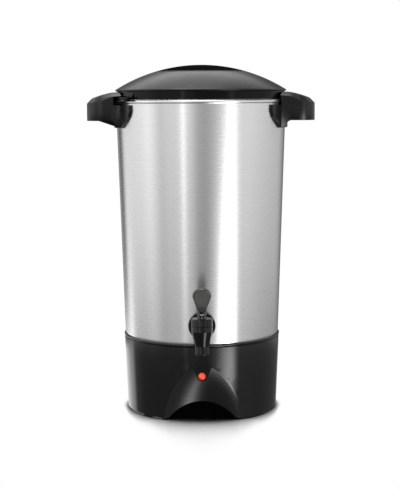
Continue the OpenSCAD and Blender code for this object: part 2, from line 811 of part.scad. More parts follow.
module lamp_lens() color([0.9, 0.2, 0.1]) {
    tube_in = lamp_tube_r - 0.9;
    rod_y(tube_in, -lamp_y - 1.2, -lamp_y + 8, lamp_z);
    // domed front that fills the bezel
    intersection() {
        translate([0, -lamp_y + 2.2, lamp_z]) sphere(r = 5.6);
        rod_y(lens_r - skin, -lamp_y - 6, -lamp_y - 0.9, lamp_z);
    }
}

module lamp_bezel() color(black) {
    difference() {
        union() {
            rod_y(bezel_r, -bezel_back - 1.35, -bezel_back, lamp_z);
            rod_y(lamp_tube_r, -lamp_y - 0.8, -lamp_y + 20, lamp_z);
        }
        rod_y(lamp_tube_r - 0.8, -lamp_y - 4, -lamp_y + 21, lamp_z);
        rod_y(lens_r, -lamp_y - 4, -lamp_y - 0.8, lamp_z);
    }
}

module lamp_body() color([0.85, 0.8, 0.7]) {
    rod_y(lamp_tube_r - 0.9, -lamp_y + 8.3, -lamp_y + 22, lamp_z);
    for (x = [-1.6, 1.6]) rod_y(0.5, -lamp_y + 21, -lamp_y + 26, lamp_z, x);
}

module inlet_housing() color(black) {
    back = inlet_face_y - inlet_depth;
    cavity_w = inlet_body_w - 5;
    cavity_h = inlet_body_h - 5;
    difference() {
        union() {
            block([-inlet_w / 2, inlet_face_y, inlet_z - inlet_h / 2],
                [inlet_w / 2, inlet_face_y + inlet_t, inlet_z + inlet_h / 2]);
            block([-inlet_body_w / 2, back, inlet_z - inlet_body_h / 2],
                [inlet_body_w / 2, inlet_face_y, inlet_z + inlet_body_h / 2]);
        }
        block([-cavity_w / 2, back + 4, inlet_z - cavity_h / 2],
            [cavity_w / 2, inlet_face_y + inlet_t + over, inlet_z + cavity_h / 2]);
        for (x = [-1, 1]) {
            rod_y(1.7, inlet_face_y - over, inlet_face_y + inlet_t + over, inlet_z, x * (inlet_body_w / 2 + 3));
            rod_y(inlet_pin_r + fit, back - over, back + 5, inlet_z, x * pin_pitch / 2);
        }
    }
}

module inlet_pins() color(brass) {
    back = inlet_face_y - inlet_depth;
    for (x = [-1, 1]) {
        rod_y(inlet_pin_r, back - 5, inlet_face_y - 4, inlet_z, x * pin_pitch / 2);
        translate([x * pin_pitch / 2, inlet_face_y - 4, inlet_z]) sphere(r = inlet_pin_r);
    }
}

module inlet_screws() color(steel) {
    for (x = [-1, 1]) {
        rod_y(1.25, inlet_face_y - 2.8, inlet_face_y + inlet_t + 0.5, inlet_z, x * (inlet_body_w / 2 + 3));
        rod_y(2.6, inlet_face_y + inlet_t, inlet_face_y + inlet_t + 1.4, inlet_z, x * (inlet_body_w / 2 + 3));
    }
}

// Routes of the leads, from one crimp or blade to the next
crimp_len = 4;
pin_end_y = inlet_face_y - inlet_depth - 5;
blade_z = bracket_z - bracket_t - 11;
live_path = let (x = pin_pitch / 2, y = pin_end_y - crimp_len + 1)
    [[x, y, inlet_z], [x, y - 2, shield_z - 6], [x - 4, 48, shield_z - 6], [x - 8, 41, shield_z],
        [4, 34, shield_z + 10], [14, 18, shield_z + 8], [20, 5, blade_z]];
neutral_path = let (x = -pin_pitch / 2, y = pin_end_y - crimp_len + 1)
    [[x, y, inlet_z], [x, y - 2, shield_z - 6], [x + 4, 48, shield_z - 6], [x + 7, 41, shield_z],
        [-6, 32, shield_z + 6], [-5.5, 22, shield_z + 4], [-5, 17, bracket_z - 9 - crimp_len + 1]];
lamp_path = [[1.6, -lamp_y + 27.2, lamp_z], [2, -lamp_y + 30, lamp_z - 8], [3, -lamp_y + 42, shield_z - 7],
    [2, -41, shield_z], [6, -32, shield_z + 7], [14, -16, shield_z + 8], [20, -5, blade_z]];

module wiring() color([0.75, 0.2, 0.15]) {
    for (route = [live_path, neutral_path, lamp_path]) sweep(path(route, 3), 1.1, [1, 0, 0]);
    // crimps on the inlet's pins, the lamp's leg and the heater's pin
    for (x = [-1, 1]) rod_y(1.6, pin_end_y - crimp_len, pin_end_y, inlet_z, x * pin_pitch / 2);
    rod_y(1.3, -lamp_y + 26, -lamp_y + 26 + crimp_len, lamp_z, 1.6);
    post(-5, 17, 1.6, bracket_z - 9 - crimp_len, bracket_z - 9);
}

// ---------- tap ----------

// Turned part about the valve's axis
module about_valve() {
    translate([0, -valve_y, 0]) children();
}

module tap_body() color(black) {
    neck_end = -flange_y - tap_flange_t;
    difference() {
        union() {
            // spout, barrel and threaded top
            about_valve() rotate_extrude() polygon([[0, spout_z], [spout_r - 0.3, spout_z],
                [spout_r + 0.3, spout_z + 0.8], [spout_r, spout_z + 6], [spout_r, seat_z - 9],
                [spout_r + 0.5, seat_z - 6], [spout_r + 1.4, seat_z - 2], [valve_r - 0.8, seat_z + 3.5],
                [valve_r, seat_z + 8.5], [valve_r, bonnet_z], [thread_r, bonnet_z],
                [thread_r, spring_top_z - 0.4], [0, spring_top_z - 0.4]]);
            // threaded shank
            rod_y(shank_r, neck_end - over, -tap_wall_y + 18, tap_z);
            // neck, clear of the bonnet
            difference() {
                rod_y(shank_r + 1, -valve_y, neck_end, tap_z);
                about_valve() post(0, 0, valve_r + 0.5, bonnet_z, bonnet_top_z);
            }
        }
        about_valve() {
            post(0, 0, chamber_r, seat_z, bonnet_top_z);
            post(0, 0, 4.5, seat_z - 8, seat_z + over);
            post(0, 0, spout_r - 2, spout_z - over, seat_z - 6);
        }
        rod_y(bore_r, -valve_y, -tap_wall_y + 19, tap_z);
    }
}

module tap_flange() color(black) {
    difference() {
        rod_y(tap_flange_r, -flange_y - tap_flange_t, -flange_y, tap_z);
        rod_y(shank_r + 0.1, -flange_y - tap_flange_t - over, -flange_y + over, tap_z);
    }
}

module tap_gasket_outer() color(rubber) {
    difference() {
        rod_y(tap_flange_r - 1.5, -flange_y, -tap_wall_y + 3, tap_z);
        tank_skin(0.02);
        rod_y(shank_r + 0.1, -flange_y - over, -tap_wall_y + 4, tap_z);
    }
}

inner_face_y = tap_wall_y - tank_wall - 3.2;

module tap_gasket_inner() color(silicone) {
    difference() {
        intersection() {
            rod_y(tap_nut_r, -tap_wall_y, -inner_face_y, tap_z);
            tank_hollow(0.02);
        }
        rod_y(shank_r + 0.1, -tap_wall_y - over, -inner_face_y + over, tap_z);
    }
}

module tap_nut() color(black) {
    difference() {
        rod_y(tap_nut_r, -inner_face_y, -inner_face_y + 6, tap_z, sides = 8);
        rod_y(shank_r + fit, -inner_face_y - over, -inner_face_y + 7, tap_z);
    }
}

module tap_bonnet() color(black) {
    difference() {
        about_valve() difference() {
            union() {
                post(0, 0, valve_r, bonnet_z, bonnet_top_z - 0.8);
                translate([0, 0, bonnet_top_z - 0.8]) cylinder(h = 0.8, r1 = valve_r, r2 = valve_r - 0.8);
            }
            post(0, 0, thread_r + fit, bonnet_z - over, spring_top_z - 0.4);
            post(0, 0, chamber_r, bonnet_z - over, spring_top_z);
            post(0, 0, stem_r + fit, spring_top_z - over, bonnet_top_z + over);
            // grip flutes
            for (a = [0:30:330]) rotate([0, 0, a]) post(valve_r + 1.1, 0, 1.5, bonnet_z - over, bonnet_top_z - 2);
        }
    }
}

module tap_stem() color(steel) {
    about_valve() difference() {
        union() {
            post(0, 0, stem_r, seat_z + 2.5, pin_z);
            post(0, 0, chamber_r - 2.5, spring_foot_z - 1.2, spring_foot_z);
            post(0, 0, stem_r + 1.2, seat_z + 2.5, seat_z + 3.7);
            // flat eye for the pin
            intersection() {
                translate([-eye_w, 0, pin_z]) rotate([0, 90, 0]) cylinder(h = 2 * eye_w, r = pin_r + 1.3);
                post(0, 0, 4, pin_z - 5, pin_z + 5);
            }
        }
        translate([-5, 0, pin_z]) rotate([0, 90, 0]) cylinder(h = 10, r = pin_r + fit);
    }
}

module seat_cup() color(silicone) {
    about_valve() difference() {
        union() {
            post(0, 0, chamber_r - 1.4, seat_z + 0.05, seat_z + 2);
            post(0, 0, stem_r + 3, seat_z + 2, spring_foot_z - 1.25);
        }
        post(0, 0, stem_r + fit, seat_z + 2.4, spring_foot_z);
        post(0, 0, stem_r + 1.25, seat_z + 2.45, seat_z + 3.75);
    }
}

module tap_spring() color(steel) {
    turns = 5;
    steps = 12;
    wire = 0.45;
    coil_r = stem_r + 2.3;
    z0 = spring_foot_z + wire + 0.1;
    z1 = spring_top_z - wire - 0.1;
    about_valve() sweep([for (i = [0:turns * steps]) let (a = i * 360 / steps)
        [coil_r * cos(a), coil_r * sin(a), z0 + (z1 - z0) * i / (turns * steps)]], wire, [0, 0, 1]);
}

module lever_pin() color(steel) {
    translate([-neck_w / 2, -valve_y, pin_z]) rotate([0, 90, 0]) cylinder(h = neck_w, r = pin_r);
}

// Upright plane of the lever, turned to its lean, with its pin at the origin
module lean() {
    translate([0, -valve_y, pin_z]) rotate([lever_lean, 0, 0]) children();
}

module tap_lever() color(black) {
    heel = 3.8;
    neck_top = 6;
    end_z = lever_len - paddle_r;
    rise = end_z - neck_top;
    waist = neck_w / 2 - 0.4;
    // where the neck's straight flank meets the round end
    flank = acos(paddle_r / norm([waist, rise])) - atan(rise / waist);
    difference() {
        union() {
            // cheeks with the flat heel that rocks on the bonnet
            for (side = [0, 1]) mirror([side, 0, 0])
                translate([neck_w / 2, -valve_y, pin_z]) rotate([90, 0, -90])
                    linear_extrude(neck_w / 2 - cheek_gap)
                        polygon([[-3.4, -heel], [10.3, -heel], [10.3, -heel + 2], [9, 5], [3, 9.5], [-1.5, 7.5], [-3.8, 2]]);
            // neck and paddle
            lean() {
                translate([-waist, -paddle_t / 2 - 0.6, neck_top - 1.5]) cube([2 * waist, paddle_t + 1.2, 5]);
                translate([0, paddle_t / 2, 0]) rotate([90, 0, 0]) linear_extrude(paddle_t)
                    polygon(concat([[-waist, neck_top], [waist, neck_top]],
                        arc(0, end_z, paddle_r, flank, 180 - flank, 32)));
            }
        }
        translate([-neck_w, -valve_y, pin_z]) rotate([0, 90, 0]) cylinder(h = 2 * neck_w, r = pin_r + fit);
    }
}

// ---------- handles ----------

// Rounded outline of a handle seen from above, grown inwards by inset
module handle_outline(inset) {
    r = handle_corner_r - inset;
    half = handle_w / 2 - inset;
    x = handle_x - inset;
    for (side = [-1, 1]) translate([x - r, side * (half - r)]) circle(r = r);
    polygon([[0, -half], [x - r, -half], [x - r, half], [0, half]]);
    polygon([[0, -half + r], [x, -half + r], [x, half - r], [0, half - r]]);
}

// Solid under the crowned top, lowered by drop, from z0 up
module under_crown(drop, z0) {
    rotate_extrude() intersection() {
        translate([rim_r - crown_in, crown_z]) circle(r = handle_crown_r - drop, $fn = 360);
        translate([0, z0]) square([handle_x + 20, 200]);
    }
}

// Lower edge of a handle seen from the front: level, then curved down to the plate
module handle_side() {
    low = handle_plate_foot_z;
    rise = handle_foot_z - low;
    plate_x = rim_r - 8;
    polygon(concat([[0, rim_z + 40], [0, low], [plate_x - 6, low]],
        [for (i = [0:6]) let (t = i / 6) [plate_x - 6 + 22 * t, low + rise * sin(90 * t)]],
        [[handle_x + 5, handle_foot_z], [handle_x + 5, rim_z + 40]]));
}

module handle_shape(inset) {
    intersection() {
        translate([0, 0, handle_plate_foot_z - 5]) linear_extrude(60) handle_outline(inset);
        under_crown(inset > 0 ? inset + 0.6 : 0, handle_plate_foot_z - 5);
    }
}

// What stands in a handle's hollow: the screw bosses with their ribs, and the thick
// skin over the slot
module handle_inside() {
    for (a = [-1, 1]) rotate([0, 0, a * handle_screw_angle]) {
        translate([0, 0, handle_screw_z]) rotate([0, 90, 0]) post(0, 0, 4.5, 0, boss_end);
        block([0, -1.5, handle_screw_z], [boss_end, 1.5, rim_z + 20]);
    }
    ring(slot_r, 1, slot_top_z + 0.2, rim_z + 60);
}

// Room that a lug sweeps, from outside the handle to its locked place
module lug_room() {
    turn = 62;
    rotate([0, 0, lug_start + lug_span + 2 - turn]) translate([0, 0, plate_top_z])
        rotate_extrude(angle = turn) square([slot_r, slot_top_z - plate_top_z]);
}

// Handle on the +X side. Its bayonet slot opens at the back
module handle() {
    difference() {
        intersection() {
            handle_shape(0);
            translate([0, handle_w, 0]) rotate([90, 0, 0]) linear_extrude(2 * handle_w) handle_side();
        }
        // tank, plate and rim
        tank_skin(handle_plate_t + skin);
        post(0, 0, handle_inner_r, wall_top_z - over, rim_z + 60);
        // finger hollow, open below
        difference() {
            handle_shape(handle_wall);
            handle_inside();
        }
        // bayonet slot through the back wall
        intersection() {
            lug_room();
            block([0, slot_end_y, 0], [handle_x, handle_w, rim_z + 20]);
        }
        at_handle_screws() post(0, 0, 1.6, rim_r, boss_end - 3);
    }
}

module left_handle() color(black) {
    rotate([0, 0, 180]) handle();
}

module right_handle() color(black) {
    handle();
}

// Shield-shaped plate on the tank wall, on the +X side
module handle_plate() {
    half = handle_w / 2;
    difference() {
        intersection() {
            tank_skin(handle_plate_t);
            rotate([90, 0, 90]) linear_extrude(rim_r + 20)
                polygon([[-half - 20, plate_top_z], [-half - 20, plate_top_z - 7], [-half - 17, plate_top_z - 14],
                    [-half - 11, plate_top_z - 20], [-half, handle_plate_foot_z], [half, handle_plate_foot_z],
                    [half + 11, plate_top_z - 20], [half + 17, plate_top_z - 14], [half + 20, plate_top_z - 7],
                    [half + 20, plate_top_z]]);
        }
        tank_skin(skin);
        at_handle_screws() post(0, 0, handle_screw_r + 0.3, rim_r - 12, rim_r + 12);
    }
}

module left_handle_plate() color(black) {
    rotate([0, 0, 180]) handle_plate();
}

module right_handle_plate() color(black) {
    handle_plate();
}

screw_seat_r = tank_r(handle_screw_z) - tank_wall;

module handle_screws() color(steel) {
    at_handle_screws() {
        post(0, 0, 1.5, screw_seat_r - 3, boss_end - 4);
        post(0, 0, 4, screw_seat_r - 4.2, screw_seat_r - 2);
    }
}

module handle_washers() color(rubber) {
    intersection() {
        at_handle_screws() difference() {
            post(0, 0, 5, screw_seat_r - 1.95, screw_seat_r + over);
            post(0, 0, 1.6, screw_seat_r - 4, screw_seat_r + 3);
        }
        tank_hollow(0.02);
    }
}

lid_dome();
lid_grip();
lid_band();
lid_liner();
lid_rivet();
lid_screws();
pump_tube();
pump_foot();
pump_washer();
basket();
basket_lid();
tank();
heating_well();
well_gasket();
well_ring();
main_heater();
keep_warm_heater();
heater_bracket();
heater_nut();
thermostat();
thermal_fuse();
fuse_clip();
heat_shield();
tank_studs();
tank_nuts();
base_skirt();
bottom_plate();
bottom_screws();
feet();
lamp_lens();
lamp_bezel();
lamp_body();
inlet_housing();
inlet_pins();
inlet_screws();
wiring();
tap_body();
tap_flange();
tap_gasket_outer();
tap_gasket_inner();
tap_nut();
tap_bonnet();
tap_stem();
seat_cup();
tap_spring();
lever_pin();
tap_lever();
left_handle();
right_handle();
left_handle_plate();
right_handle_plate();
handle_screws();
handle_washers();
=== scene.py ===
"""The looks of the coffee urn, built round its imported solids. Metres, +Z up, the tap faces -Y."""

import json
import math

import bmesh
import bpy
from mathutils import Matrix, Quaternion, Vector


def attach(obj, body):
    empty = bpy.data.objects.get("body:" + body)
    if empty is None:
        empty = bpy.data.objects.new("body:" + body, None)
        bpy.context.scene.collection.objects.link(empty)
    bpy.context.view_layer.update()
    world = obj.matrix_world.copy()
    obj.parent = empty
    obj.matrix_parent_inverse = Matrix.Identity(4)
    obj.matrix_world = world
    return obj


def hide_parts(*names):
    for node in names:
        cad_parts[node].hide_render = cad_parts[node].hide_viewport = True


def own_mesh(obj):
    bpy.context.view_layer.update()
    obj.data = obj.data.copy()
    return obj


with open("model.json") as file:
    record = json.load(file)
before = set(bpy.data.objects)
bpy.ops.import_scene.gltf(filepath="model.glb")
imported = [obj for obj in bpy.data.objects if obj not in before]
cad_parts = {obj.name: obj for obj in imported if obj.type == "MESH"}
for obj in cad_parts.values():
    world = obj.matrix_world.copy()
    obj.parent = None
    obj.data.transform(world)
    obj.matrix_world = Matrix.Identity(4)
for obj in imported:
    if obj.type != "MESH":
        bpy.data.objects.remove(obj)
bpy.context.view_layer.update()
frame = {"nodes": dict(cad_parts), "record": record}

MM = 0.001
FULL_TURN = math.tau
ROUND_STEPS = 192
BRUSHING_UV = "height"

# half the angle of a corner that is left as it is, in radians
ALMOST_STRAIGHT = math.radians(86)

# the part of a noise's range that is used
NOISE_SPAN = (0.3, 0.7)

# sizes in millimetres, also those that the pieces share
RIM_R = 105.4
RIM_Z = 384
WALL_TOP_R = 104.7
WALL_TOP_Z = 378.6
WALL_FOOT_R = 95.8
WALL_FOOT_Z = 97.8
FLOOR_Z = 88.8
SHEET = 0.9
DOME_R = 105.4
DOME_Z = 396
DOME_BALL_R = 197.37
DOME_BALL_Z = 229.13
GRIP_R = 58
VALVE_Y = -124.059
TAP_Z = 118.6
PIN_Z = 135.6
CHEEK = 2.7
CHEEK_GAP = 2.4
COIL_R = 4.4
HANDLE_X = 138.6
HANDLE_HALF = 46
HANDLE_CORNER = 21
HANDLE_WALL = 3
HANDLE_SEAT_R = 106.2
HANDLE_BEVEL = 5.5
CROWN_R = 110
CROWN_SIDE = 90.8
CROWN_Z = 283.57
CROWN_LIFT = 1.2
HANDLE_ROOF = 3.6
FOOT_RISE = 8.8
PLATE_TOP_Z = 377.6
PLATE_THICK = 3.3
SLOT_X = 105.3
BOSS_R = 107.2
SCREW_Z = 366

# angles in degrees
LEVER_LEAN = 35
SCREW_ANGLE = 14

# the base's cone and the lamp's glow, in metres
BASE_SLOPE = 0.03936
BASE_SKIN = (0.0922, 0.0929)
GLOW_MIDDLE = (-0.0008, -0.097, 0.0573)
GLOW_R = 1 / 210


# ---------- outlines ----------

def arc(centre, radius, start, end, steps=8):
    """Points on an arc in a plane, between two angles in degrees."""
    turn = [math.radians(start + (end - start) * i / steps) for i in range(steps + 1)]
    return [(centre[0] + radius * math.cos(a), centre[1] + radius * math.sin(a)) for a in turn]


def eased(points, radius, steps=4):
    """The same closed outline with its corners rounded, by less where a side is short."""
    result = []
    for i, here in enumerate(points):
        here = Vector(here)
        before = Vector(points[i - 1]) - here
        after = Vector(points[(i + 1) % len(points)]) - here
        half = before.angle(after) / 2
        if half > ALMOST_STRAIGHT:
            result.append(tuple(here))
            continue
        reach = min(radius / math.tan(half), before.length * 0.45, after.length * 0.45)
        first = here + before.normalized() * reach
        last = here + after.normalized() * reach
        for k in range(steps + 1):
            t = k / steps
            point = first * (1 - t) ** 2 + here * 2 * t * (1 - t) + last * t ** 2
            result.append(tuple(point))
    return result


# ---------- shapes ----------

def spun(profile, steps=ROUND_STEPS):
    """A closed profile of (radius, height) turned once round the upright axis."""
    bm = bmesh.new()
    verts = [bm.verts.new((r, 0, z)) for r, z in profile]
    edges = [bm.edges.new(pair) for pair in zip(verts, verts[1:])]
    edges.append(bm.edges.new((verts[-1], verts[0])))
    bmesh.ops.spin(bm, geom=verts + edges, cent=(0, 0, 0), axis=(0, 0, 1), dvec=(0, 0, 0),
                   angle=FULL_TURN, steps=steps, use_merge=True, use_normal_flip=False,
                   use_duplicate=False)
    bmesh.ops.remove_doubles(bm, verts=bm.verts, dist=1e-4)
    bmesh.ops.recalc_face_normals(bm, faces=bm.faces)
    return bm


def slab(outline, thickness):
    """A flat outline in the plane of X and Y, raised by its thickness."""
    bm = bmesh.new()
    face = bm.faces.new([bm.verts.new((x, y, 0)) for x, y in outline])
    grown = bmesh.ops.extrude_face_region(bm, geom=[face], use_keep_orig=True)
    lifted = [v for v in grown["geom"] if isinstance(v, bmesh.types.BMVert)]
    bmesh.ops.translate(bm, verts=lifted, vec=(0, 0, thickness))
    bmesh.ops.recalc_face_normals(bm, faces=bm.faces)
    return bm


def soften(bm, edges, width, steps=3):
    bmesh.ops.bevel(bm, geom=edges, offset=width, offset_type="OFFSET", affect="EDGES",
                    segments=steps, profile=0.5, material=-1, clamp_overlap=True)


def sharp_edges(bm, angle=35):
    limit = math.radians(angle)
    return [e for e in bm.edges if e.is_manifold and e.calc_face_angle(0) > limit]


def turn(bm, degrees, axis):
    matrix = Matrix.Rotation(math.radians(degrees), 3, axis)
    bmesh.ops.rotate(bm, verts=bm.verts, cent=(0, 0, 0), matrix=matrix)


def shift(bm, x=0, y=0, z=0):
    bmesh.ops.translate(bm, verts=bm.verts, vec=(x, y, z))


def joined(*parts):
    """One bmesh that holds all the shapes given."""
    whole = bmesh.new()
    for part in parts:
        mesh = bpy.data.meshes.new("part")
        part.to_mesh(mesh)
        part.free()
        whole.from_mesh(mesh)
        bpy.data.meshes.remove(mesh)
    return whole


def piece(name, bm, body, finish, replaces):
    """A finished object made from a bmesh in millimetres."""
    bmesh.ops.scale(bm, vec=(MM, MM, MM), verts=bm.verts)
    mesh = bpy.data.meshes.new(name)
    bm.to_mesh(mesh)
    bm.free()
    mesh.shade_smooth()
    mesh.set_sharp_from_angle(angle=math.radians(32))
    made = bpy.data.objects.new(name, mesh)
    bpy.context.scene.collection.objects.link(made)
    mesh.materials.append(FINISHES[finish])
    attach(made, body)
    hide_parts(*replaces)
    return made


# ---------- shader nodes ----------

def calculated(tree, operation, *values):
    """Result of a sum; each value is a number or another node's output."""
    node = tree.nodes.new("ShaderNodeMath")
    node.operation = operation
    for value, socket in zip(values, node.inputs):
        if isinstance(value, (int, float)):
            socket.default_value = value
        else:
            tree.links.new(value, socket)
    return node.outputs["Value"]


def between(tree, value, span, result, smooth=False):
    """Maps a span of values onto another and holds it at both ends."""
    node = tree.nodes.new("ShaderNodeMapRange")
    if smooth:
        node.interpolation_type = "SMOOTHSTEP"
    names = ("From Min", "From Max", "To Min", "To Max")
    for name, number in zip(names, (*span, *result)):
        node.inputs[name].default_value = number
    tree.links.new(value, node.inputs["Value"])
    return node.outputs["Result"]


def ramp(tree, value, stops):
    """Colour that changes along a value; each stop has a position and a colour."""
    node = tree.nodes.new("ShaderNodeValToRGB")
    marks = node.color_ramp.elements
    marks.remove(marks[-1])
    for i, (position, colour) in enumerate(stops):
        mark = marks[0] if i == 0 else marks.new(position)
        mark.position = position
        mark.color = (*colour, 1)
    tree.links.new(value, node.inputs["Fac"])
    return node.outputs["Color"]


def own_place(tree):
    """The point's place on the piece."""
    return tree.nodes.new("ShaderNodeTexCoord").outputs["Object"]


def split_axes(tree, vector):
    node = tree.nodes.new("ShaderNodeSeparateXYZ")
    tree.links.new(vector, node.inputs["Vector"])
    return node.outputs


def stretched_length(tree, vector, stretch):
    """Length of a vector after each axis is multiplied by its own number."""
    stretched = tree.nodes.new("ShaderNodeVectorMath")
    stretched.operation = "MULTIPLY"
    stretched.inputs[1].default_value = stretch
    length = tree.nodes.new("ShaderNodeVectorMath")
    length.operation = "LENGTH"
    tree.links.new(vector, stretched.inputs[0])
    tree.links.new(stretched.outputs["Vector"], length.inputs[0])
    return length.outputs["Value"]


# ---------- finishes ----------

def new_finish(name, colour, roughness, metallic=0.0, specular=0.5):
    material = bpy.data.materials.new(name)
    material.use_nodes = True
    shader = material.node_tree.nodes["Principled BSDF"]
    shader.inputs["Base Color"].default_value = (*colour, 1)
    shader.inputs["Roughness"].default_value = roughness
    shader.inputs["Metallic"].default_value = metallic
    shader.inputs["Specular IOR Level"].default_value = specular
    return material, shader


def noise(material, scale, detail=3.0):
    """Noise on the piece's own coordinates, with a scale for each axis, per metre."""
    tree = material.node_tree
    mapping = tree.nodes.new("ShaderNodeMapping")
    mapping.inputs["Scale"].default_value = scale
    texture = tree.nodes.new("ShaderNodeTexNoise")
    texture.inputs["Scale"].default_value = 1.0
    texture.inputs["Detail"].default_value = detail
    tree.links.new(own_place(tree), mapping.inputs["Vector"])
    tree.links.new(mapping.outputs["Vector"], texture.inputs["Vector"])
    return texture.outputs["Fac"]


def vary(material, shader, socket, source, low, high):
    """Drives a number of the shader between two values."""
    tree = material.node_tree
    tree.links.new(between(tree, source, NOISE_SPAN, (low, high)), shader.inputs[socket])


def tint(material, shader, source, dark, light):
    """Drives the shader's colour between a darker and a lighter tone."""
    tree = material.node_tree
    colour = ramp(tree, source, list(zip(NOISE_SPAN, (dark, light))))
    tree.links.new(colour, shader.inputs["Base Color"])


def emboss(material, shader, source, strength, depth):
    """Raises and lowers the surface a little, by a source value."""
    tree = material.node_tree
    bump = tree.nodes.new("ShaderNodeBump")
    bump.inputs["Strength"].default_value = strength
    bump.inputs["Distance"].default_value = depth
    tree.links.new(source, bump.inputs["Height"])
    tree.links.new(bump.outputs["Normal"], shader.inputs["Normal"])


def grey(value):
    return (value, value, value)


def brushed_steel():
    """Steel brushed round the tank: long fine streaks, soft from top to bottom."""
    material, shader = new_finish("brushed_steel", grey(0.74), 0.27, metallic=1.0)
    shader.inputs["Anisotropic"].default_value = 0.75
    tree = material.node_tree
    tangent = tree.nodes.new("ShaderNodeTangent")
    tangent.direction_type = "UV_MAP"
    tangent.uv_map = BRUSHING_UV
    tree.links.new(tangent.outputs["Tangent"], shader.inputs["Tangent"])
    streaks = noise(material, (9, 9, 700), detail=5.0)
    tint(material, shader, streaks, (0.738, 0.738, 0.743), (0.756, 0.756, 0.761))
    vary(material, shader, "Roughness", noise(material, (14, 14, 1500)), 0.266, 0.28)
    emboss(material, shader, noise(material, (20, 20, 2600), detail=2.0), 0.01, 0.00005)
    return material


def plain_steel():
    material, shader = new_finish("plain_steel", grey(0.66), 0.25, metallic=1.0)
    vary(material, shader, "Roughness", noise(material, (90, 90, 90)), 0.2, 0.36)
    return material


def aluminium():
    material, shader = new_finish("spun_aluminium", (0.76, 0.77, 0.78), 0.35, metallic=1.0)
    vary(material, shader, "Roughness", noise(material, (40, 40, 900)), 0.3, 0.46)
    emboss(material, shader, noise(material, (30, 30, 1400)), 0.15, 0.00008)
    return material


def brass():
    material, shader = new_finish("brass", (0.78, 0.58, 0.24), 0.3, metallic=1.0)
    vary(material, shader, "Roughness", noise(material, (120, 120, 120)), 0.24, 0.4)
    return material


def satin_plastic():
    """Black plastic with a fine moulded grain."""
    material, shader = new_finish("satin_black", grey(0.003), 0.25, specular=0.4)
    tint(material, shader, noise(material, (55, 55, 55)), grey(0.002), grey(0.004))
    vary(material, shader, "Roughness", noise(material, (140, 140, 140)), 0.23, 0.28)
    emboss(material, shader, noise(material, (1500, 1500, 1500), detail=2.0), 0.08, 0.00008)
    return material


def recess_plastic():
    """The duller black of the lid's grip."""
    material, shader = new_finish("recess_black", grey(0.004), 0.4, specular=0.12)
    tint(material, shader, noise(material, (55, 55, 55)), grey(0.003), grey(0.005))
    vary(material, shader, "Roughness", noise(material, (140, 140, 140)), 0.36, 0.46)
    return material


def paddle_painted_sheen_plastic():
    """The tap's lever: a warmer black, painted lighter for a sheen of the light from above."""
    material, shader = new_finish("paddle_painted_sheen", (0.04, 0.04, 0.036), 0.3)
    tint(material, shader, noise(material, (90, 90, 90)), (0.036, 0.036, 0.032), (0.046, 0.046, 0.041))
    vary(material, shader, "Roughness", noise(material, (150, 150, 150)), 0.27, 0.34)
    return material


def gloss_plastic(name, specular):
    material, shader = new_finish(name, grey(0.003), 0.09, specular=specular)
    tint(material, shader, noise(material, (60, 60, 60)), grey(0.002), grey(0.004))
    vary(material, shader, "Roughness", noise(material, (90, 90, 90)), 0.08, 0.12)
    return material


def base_plastic():
    """Gloss black of the moulded base, duller where it leaves the outer cone, as in the scoop."""
    material, shader = new_finish("base_black", grey(0.003), 0.1)
    tint(material, shader, noise(material, (35, 35, 35)), grey(0.002), grey(0.004))
    tree = material.node_tree
    place = own_place(tree)
    off_axis = stretched_length(tree, place, (1, 1, 0))
    foot_radius = calculated(tree, "MULTIPLY_ADD", split_axes(tree, place)["Z"], -BASE_SLOPE, off_axis)
    roughness = between(tree, foot_radius, BASE_SKIN, (0.33, 0.1))
    tree.links.new(roughness, shader.inputs["Roughness"])
    return material


def silicone():
    material, shader = new_finish("silicone", (0.62, 0.6, 0.56), 0.55)
    shader.inputs["Subsurface Weight"].default_value = 0.15
    shader.inputs["Subsurface Radius"].default_value = (0.002, 0.002, 0.002)
    vary(material, shader, "Roughness", noise(material, (200, 200, 200)), 0.5, 0.62)
    return material


def rubber():
    material, shader = new_finish("rubber", grey(0.03), 0.7)
    tint(material, shader, noise(material, (300, 300, 300)), grey(0.024), grey(0.04))
    emboss(material, shader, noise(material, (1200, 1200, 1200)), 0.25, 0.0001)
    return material


def red_lens():
    """Clear red plastic with the lamp glowing behind it, brightest in the middle."""
    material, shader = new_finish("red_lens", (0.5, 0.02, 0.01), 0.06)
    shader.inputs["Coat Weight"].default_value = 0.4
    shader.inputs["Emission Strength"].default_value = 0.62
    tint(material, shader, noise(material, (260, 260, 260)), (0.4, 0.015, 0.008), (0.6, 0.03, 0.015))
    tree = material.node_tree
    middle = tree.nodes.new("ShaderNodeVectorMath")
    middle.operation = "SUBTRACT"
    middle.inputs[1].default_value = GLOW_MIDDLE
    tree.links.new(own_place(tree), middle.inputs[0])
    off_middle = stretched_length(tree, middle.outputs["Vector"], (1 / GLOW_R, 0, 1 / GLOW_R))
    stops = [(0.1, (1.0, 0.2, 0.07)), (0.6, (0.75, 0.05, 0.015)), (0.95, (0.12, 0.004, 0.002))]
    tree.links.new(ramp(tree, off_middle, stops), shader.inputs["Emission Color"])
    return material


def lamp_plastic():
    material, shader = new_finish("lamp_white", grey(0.7), 0.4)
    vary(material, shader, "Roughness", noise(material, (150, 150, 150)), 0.35, 0.5)
    return material


def lead_insulation():
    material, shader = new_finish("lead_red", (0.5, 0.03, 0.03), 0.42)
    tint(material, shader, noise(material, (90, 90, 90)), (0.42, 0.02, 0.02), (0.56, 0.04, 0.04))
    return material


